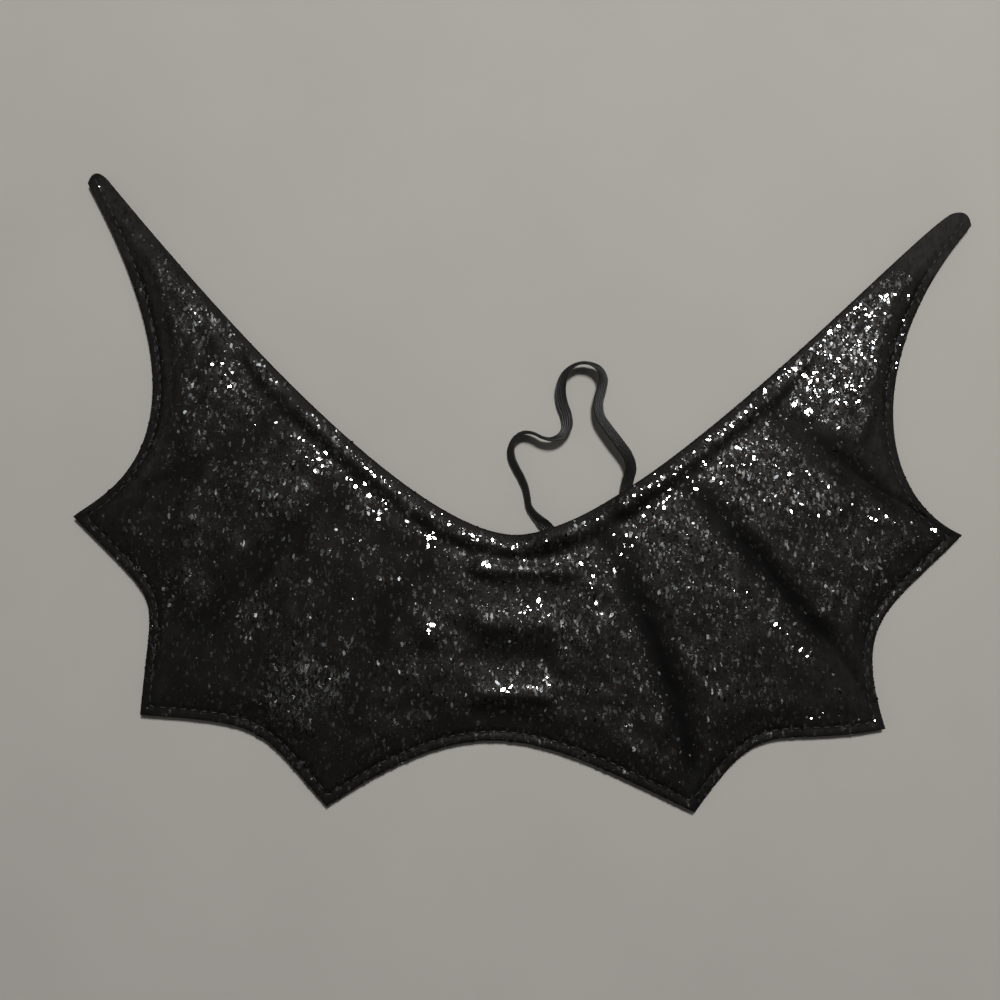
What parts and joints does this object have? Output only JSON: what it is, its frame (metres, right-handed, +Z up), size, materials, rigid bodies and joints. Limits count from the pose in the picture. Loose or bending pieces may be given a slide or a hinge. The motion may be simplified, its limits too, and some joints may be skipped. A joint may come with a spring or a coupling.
{
  "type": "costume bat wings",
  "caption": "Flat black glitter costume bat wings with scalloped points, sewn finger creases, a plain backing and a loose elastic loop at the top edge.",
  "frame": {"origin": "centre of the wings' outline, on the surface that they lie on", "axes": "+X from the left tip to the right tip as seen from the front, +Y from the bottom points towards the tips, +Z up out of the glitter face"},
  "size_m": [0.2544, 0.1761, 0.0053],
  "materials": {
    "glitter_cloth": "black cloth with sparkling glitter flakes",
    "backing_cloth": "matte black weave",
    "elastic": "satin black braided elastic"
  },
  "bodies": {
    "root": {"front_panel": "glitter_cloth", "back_panel": "backing_cloth", "elastic_loop": "elastic"}
  },
  "joints": []
}
